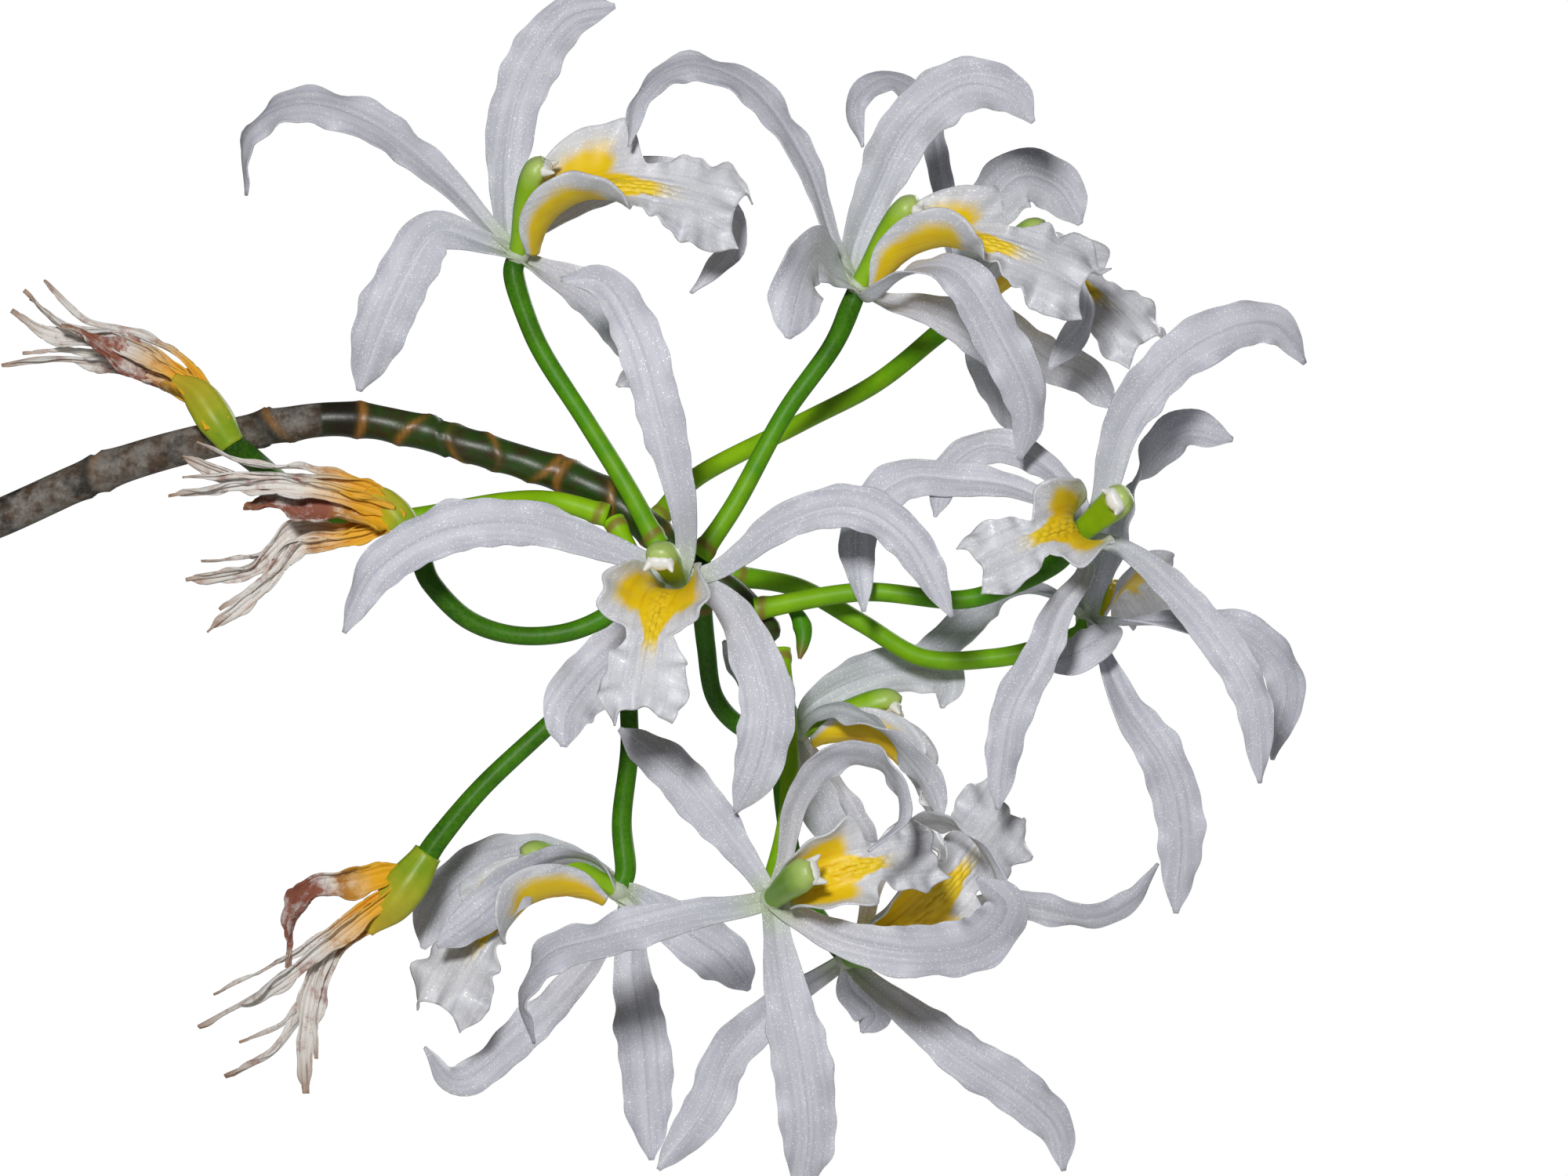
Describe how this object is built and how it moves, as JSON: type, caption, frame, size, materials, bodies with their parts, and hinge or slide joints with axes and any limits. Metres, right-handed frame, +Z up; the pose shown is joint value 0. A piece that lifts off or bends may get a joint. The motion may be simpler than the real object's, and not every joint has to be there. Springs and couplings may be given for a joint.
{
  "type": "potted orchid",
  "caption": "Potted orchid: an arching stem hung with white, yellow-throated flowers, over ribbed bulbs and strap leaves in a plain tapered clay pot.",
  "frame": {"origin": "centre of the pot's underside, on the surface that the pot stands on", "axes": "+Z up; +X from the pot towards the hanging flower head; -Y the side that the head's front faces"},
  "size_m": [0.6351, 0.3175, 0.8861],
  "materials": {
    "terracotta": "unglazed fired clay, matt, with faint turning rings and pale bloom",
    "bark_mix": "coarse chips of conifer bark, dry and matt",
    "aerial_root": "silvery, dull, corky root skin with a green tip",
    "stem_skin": "papery grey-brown sheaths mottled dark brown and tan, green towards the head",
    "dry_sheath": "dry, fibrous, straw-brown",
    "stalk_green": "fresh green plant skin, satin, lighter where it is lit through",
    "bulb_green": "ribbed green skin with thin papery bracts, satin",
    "leaf_green": "thick leathery leaf, semi-gloss above, paler below",
    "petal_white": "cold white petal skin with fine crystalline sparkle and faint veins",
    "lip_white_yellow": "white lip with a bright yellow throat and raised yellow ridges",
    "column_green": "waxy lime green column with a cream-white cap",
    "withered_flower": "dried petal, papery, cream and russet with a yellow-green swollen foot"
  },
  "bodies": {
    "root": {"pot": "terracotta", "bark": "bark_mix", "aerial_root": "aerial_root", "flower_stem": "stem_skin", "stem_sheath": "dry_sheath", "end_bract": "stalk_green", "pseudobulb_1": "bulb_green", "pseudobulb_2": "bulb_green", "pseudobulb_3": "bulb_green", "leaf_1": "leaf_green", "leaf_2": "leaf_green", "leaf_3": "leaf_green", "leaf_4": "leaf_green", "leaf_5": "leaf_green", "flower_top_left_tepals": "petal_white", "flower_top_left_lip": "lip_white_yellow", "flower_top_left_column": "column_green", "flower_top_left_pedicel": "stalk_green", "flower_top_right_tepals": "petal_white", "flower_top_right_lip": "lip_white_yellow", "flower_top_right_column": "column_green", "flower_top_right_pedicel": "stalk_green", "flower_back_right_tepals": "petal_white", "flower_back_right_lip": "lip_white_yellow", "flower_back_right_column": "column_green", "flower_back_right_pedicel": "stalk_green", "flower_right_front_tepals": "petal_white", "flower_right_front_lip": "lip_white_yellow", "flower_right_front_column": "column_green", "flower_right_front_pedicel": "stalk_green", "flower_right_back_tepals": "petal_white", "flower_right_back_lip": "lip_white_yellow", "flower_right_back_column": "column_green", "flower_right_back_pedicel": "stalk_green", "flower_centre_tepals": "petal_white", "flower_centre_lip": "lip_white_yellow", "flower_centre_column": "column_green", "flower_centre_pedicel": "stalk_green", "flower_bottom_front_tepals": "petal_white", "flower_bottom_front_lip": "lip_white_yellow", "flower_bottom_front_column": "column_green", "flower_bottom_front_pedicel": "stalk_green", "flower_bottom_back_tepals": "petal_white", "flower_bottom_back_lip": "lip_white_yellow", "flower_bottom_back_column": "column_green", "flower_bottom_back_pedicel": "stalk_green", "flower_bottom_left_tepals": "petal_white", "flower_bottom_left_lip": "lip_white_yellow", "flower_bottom_left_column": "column_green", "flower_bottom_left_pedicel": "stalk_green", "flower_mid_right_tepals": "petal_white", "flower_mid_right_lip": "lip_white_yellow", "flower_mid_right_column": "column_green", "flower_mid_right_pedicel": "stalk_green", "spent_flower_upper": "withered_flower", "spent_flower_upper_pedicel": "stalk_green", "spent_flower_middle": "withered_flower", "spent_flower_middle_pedicel": "stalk_green", "spent_flower_lower": "withered_flower", "spent_flower_lower_pedicel": "stalk_green"}
  },
  "joints": []
}
